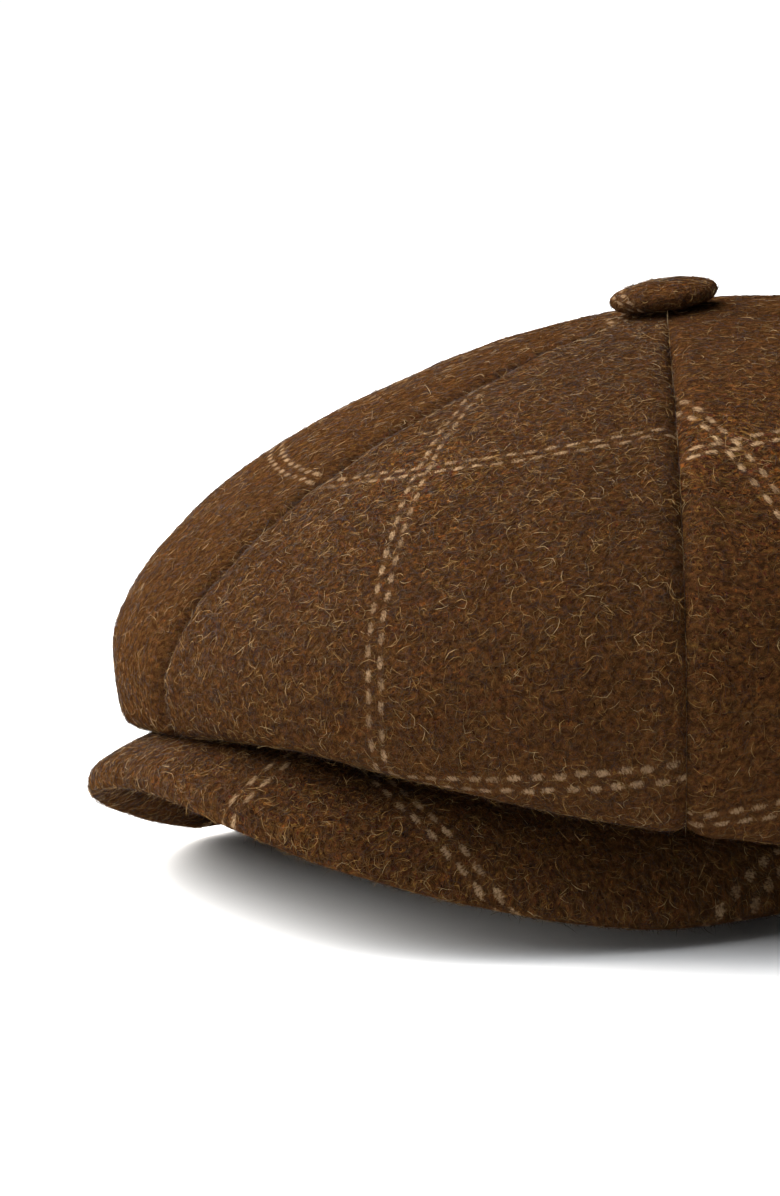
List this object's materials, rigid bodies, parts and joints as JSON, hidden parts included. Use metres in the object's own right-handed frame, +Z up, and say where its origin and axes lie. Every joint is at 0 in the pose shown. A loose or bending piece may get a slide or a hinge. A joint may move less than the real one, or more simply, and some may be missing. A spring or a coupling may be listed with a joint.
{
  "type": "newsboy cap",
  "caption": "Full-crowned panelled newsboy cap in brown windowpane wool, with a curved stiff visor, a covered button at the apex, a lining and a sweatband.",
  "frame": {"origin": "under the middle of the cap's overall length and width, on the surface that the cap lies on", "axes": "+Z up; the visor points along -Y and the wearer's left is +X"},
  "size_m": [0.252, 0.282, 0.1392],
  "materials": {
    "wool": "milled brown wool melton with fuzz and a dashed cream windowpane check",
    "lining": "smooth twill lining with a soft sheen",
    "sweatband": "ribbed dark grosgrain",
    "canvas": "coarse unbleached canvas",
    "board": "matt moulded board",
    "eyelet": "satin brass",
    "steel": "plain tinned steel"
  },
  "bodies": {
    "cap": {"crown_panel_front_left": "wool", "crown_panel_side_left": "wool", "crown_panel_rear_left": "wool", "crown_panel_rear_right": "wool", "crown_panel_side_right": "wool", "crown_panel_front_right": "wool", "lining_panel_front_left": "lining", "lining_panel_side_left": "lining", "lining_panel_rear_left": "lining", "lining_panel_rear_right": "lining", "lining_panel_side_right": "lining", "lining_panel_front_right": "lining", "headband": "wool", "band_canvas": "canvas", "sweatband": "sweatband", "visor_top_cover": "wool", "visor_board": "board", "visor_under_cover": "wool", "crown_eyelet": "eyelet"},
    "button": {"button_cover": "wool", "button_shell": "steel", "button_back": "steel", "button_rivet": "steel", "button_washer": "steel"}
  },
  "joints": [
    {"name": "button_spin", "type": "hinge", "parent": "cap", "child": "button", "pos_m": [0, -0.001, 0.132], "axis": [0, -0.1586, 0.9873], "continuous": true}
  ]
}
